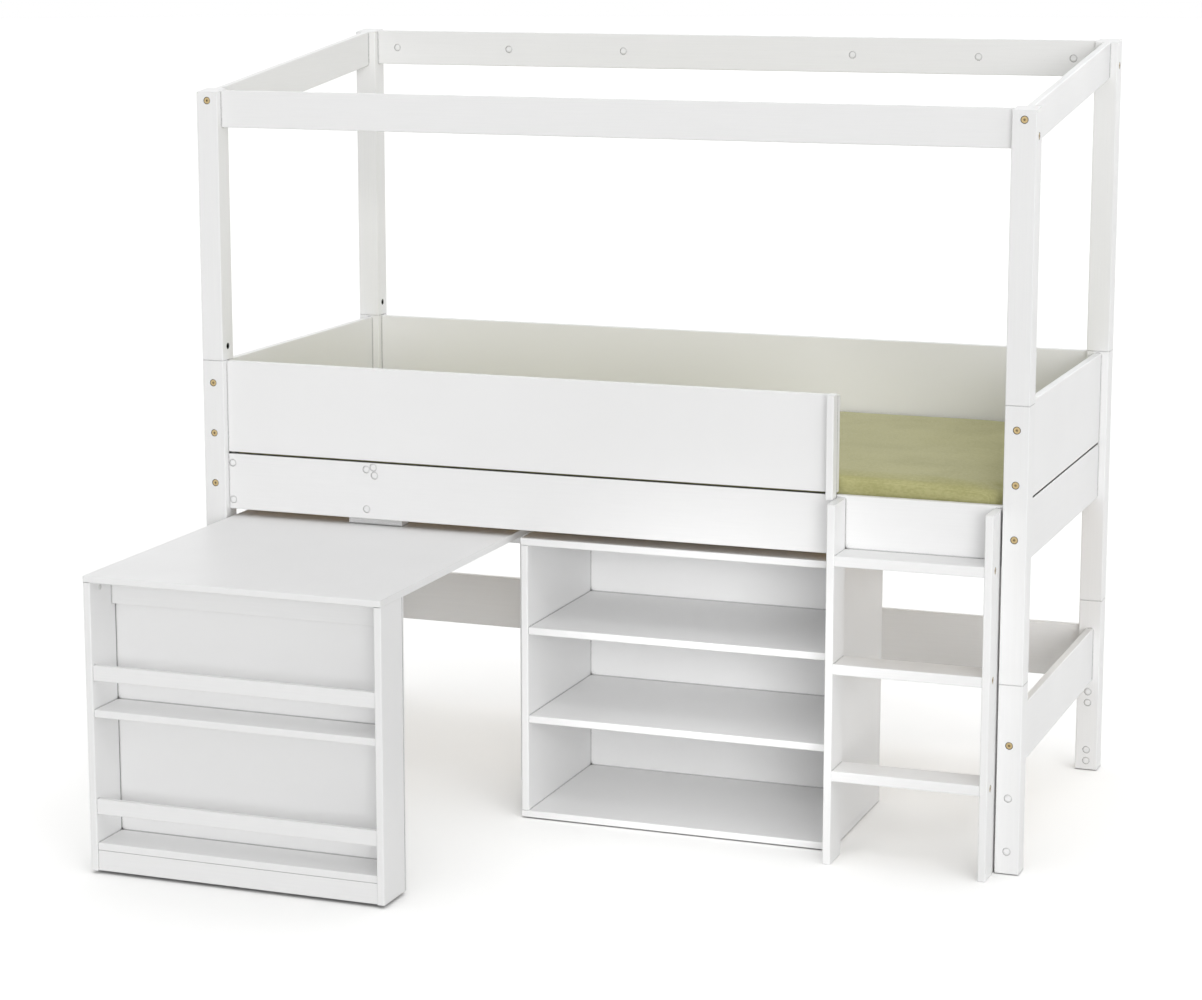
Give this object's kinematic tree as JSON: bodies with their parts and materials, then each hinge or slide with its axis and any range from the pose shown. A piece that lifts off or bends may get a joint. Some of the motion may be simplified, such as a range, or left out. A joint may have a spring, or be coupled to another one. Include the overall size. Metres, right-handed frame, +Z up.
{
  "type": "cabin bed",
  "caption": "White lacquered raised bed with a sloping canopy frame, a ladder, a bookcase and a pull-out desk on castors under it.",
  "frame": {"origin": "on the floor, at the middle of the whole part's width and depth with the desk pulled out", "axes": "+Z up, +X along the bed towards the ladder's end, +Y from the desk's front towards the wall behind the bed"},
  "size_m": [2.08, 1.705, 1.8773],
  "materials": {
    "white_lacquer": "white satin lacquer on board and solid wood",
    "pine": "planed, unfinished",
    "cover_olive": "woven cotton cover",
    "brass": "yellow plated, satin",
    "steel": "zinc plated",
    "cap_white": "matt",
    "glide_plastic": "matt",
    "tyre_rubber": "matt"
  },
  "bodies": {
    "bed": {"leg_front_left": "white_lacquer", "leg_front_right": "white_lacquer", "leg_back_left": "white_lacquer", "leg_back_right": "white_lacquer", "post_front_left": "white_lacquer", "post_front_right": "white_lacquer", "post_back_left": "white_lacquer", "post_back_right": "white_lacquer", "canopy_post_front_left": "white_lacquer", "canopy_post_front_right": "white_lacquer", "canopy_post_back_left": "white_lacquer", "canopy_post_back_right": "white_lacquer", "canopy_rail_front": "white_lacquer", "canopy_rail_back": "white_lacquer", "canopy_rail_left": "white_lacquer", "canopy_rail_right": "white_lacquer", "end_panel_left": "white_lacquer", "end_panel_right": "white_lacquer", "end_rail_left": "white_lacquer", "end_rail_right": "white_lacquer", "guard_board": "white_lacquer", "front_rail": "white_lacquer", "guard_batten": "white_lacquer", "back_panel": "white_lacquer", "back_rail": "white_lacquer", "low_rail_back": "white_lacquer", "low_end_rails": "white_lacquer", "slat_ledgers": "pine", "slats": "pine", "mattress": "cover_olive", "ladder_stile_left": "white_lacquer", "ladder_stile_right": "white_lacquer", "ladder_treads": "white_lacquer", "bookcase_top": "white_lacquer", "bookcase_bottom": "white_lacquer", "bookcase_side_left": "white_lacquer", "bookcase_side_right": "white_lacquer", "bookcase_back": "white_lacquer", "bookcase_shelves": "white_lacquer", "shelf_pins": "steel", "frame_bolts": "brass", "nuts_and_studs": "steel", "dowels": "pine", "cover_caps": "cap_white", "floor_glides": "glide_plastic"},
    "desk": {"desk_top": "white_lacquer", "stop_block": "white_lacquer", "desk_side_left": "white_lacquer", "desk_side_right": "white_lacquer", "desk_back": "white_lacquer", "desk_shelves": "white_lacquer", "desk_bars": "white_lacquer", "desk_plinth": "white_lacquer", "desk_rails": "white_lacquer", "desk_rear_legs": "white_lacquer", "castor_forks": "steel"},
    "wheel_front_left": {"wheel_front_left": "tyre_rubber"},
    "wheel_front_right": {"wheel_front_right": "tyre_rubber"},
    "wheel_rear_left": {"wheel_rear_left": "tyre_rubber"},
    "wheel_rear_right": {"wheel_rear_right": "tyre_rubber"}
  },
  "joints": [
    {"name": "desk_slide", "type": "slide", "parent": "bed", "child": "desk", "axis": [0, 1, 0], "range_m": [0, 0.745]},
    {"name": "wheel_front_left_roll", "type": "hinge", "parent": "desk", "child": "wheel_front_left", "pos_m": [-0.9335, -0.791, 0.02], "axis": [-1, 0, 0], "range_deg": [0, 2135]},
    {"name": "wheel_front_right_roll", "type": "hinge", "parent": "desk", "child": "wheel_front_right", "pos_m": [-0.271, -0.791, 0.02], "axis": [-1, 0, 0], "range_deg": [0, 2135]},
    {"name": "wheel_rear_left_roll", "type": "hinge", "parent": "desk", "child": "wheel_rear_left", "pos_m": [-0.9615, 0.0425, 0.02], "axis": [-1, 0, 0], "range_deg": [0, 2135]},
    {"name": "wheel_rear_right_roll", "type": "hinge", "parent": "desk", "child": "wheel_rear_right", "pos_m": [-0.243, 0.0425, 0.02], "axis": [-1, 0, 0], "range_deg": [0, 2135]}
  ],
  "couplings": [
    {"joint": "wheel_front_left_roll", "follows": "desk_slide", "rad_per_m": 50},
    {"joint": "wheel_front_right_roll", "follows": "desk_slide", "rad_per_m": 50},
    {"joint": "wheel_rear_left_roll", "follows": "desk_slide", "rad_per_m": 50},
    {"joint": "wheel_rear_right_roll", "follows": "desk_slide", "rad_per_m": 50}
  ]
}
